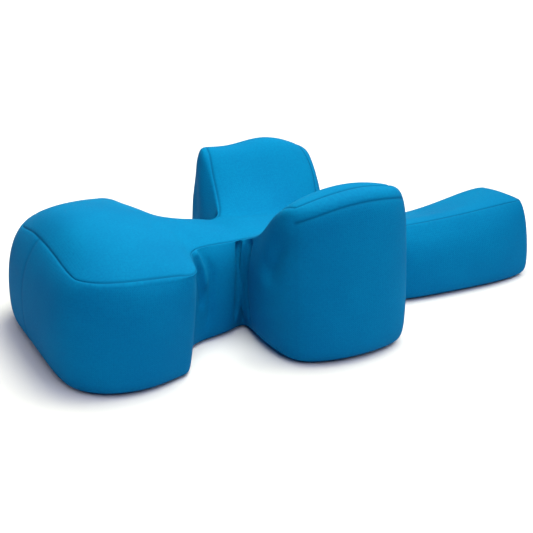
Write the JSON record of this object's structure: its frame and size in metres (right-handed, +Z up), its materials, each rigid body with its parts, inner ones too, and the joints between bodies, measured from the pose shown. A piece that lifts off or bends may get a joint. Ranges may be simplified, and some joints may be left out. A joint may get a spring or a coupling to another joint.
{
  "type": "support cushion",
  "caption": "Cross-shaped filled support cushion with a rounded lobe, a narrow waist, two upturned wings beside a saddle, and a long tail.",
  "frame": {"origin": "on the floor, under the middle of the cushion's box", "axes": "+X along the cushion from the lobe to the tail, +Y across it towards the lower wing, +Z up"},
  "size_m": [0.6124, 0.3094, 0.1831],
  "materials": {
    "knit_cover": "matte smooth blue stretch knit"
  },
  "bodies": {
    "root": {"cushion_body": "knit_cover"}
  },
  "joints": []
}
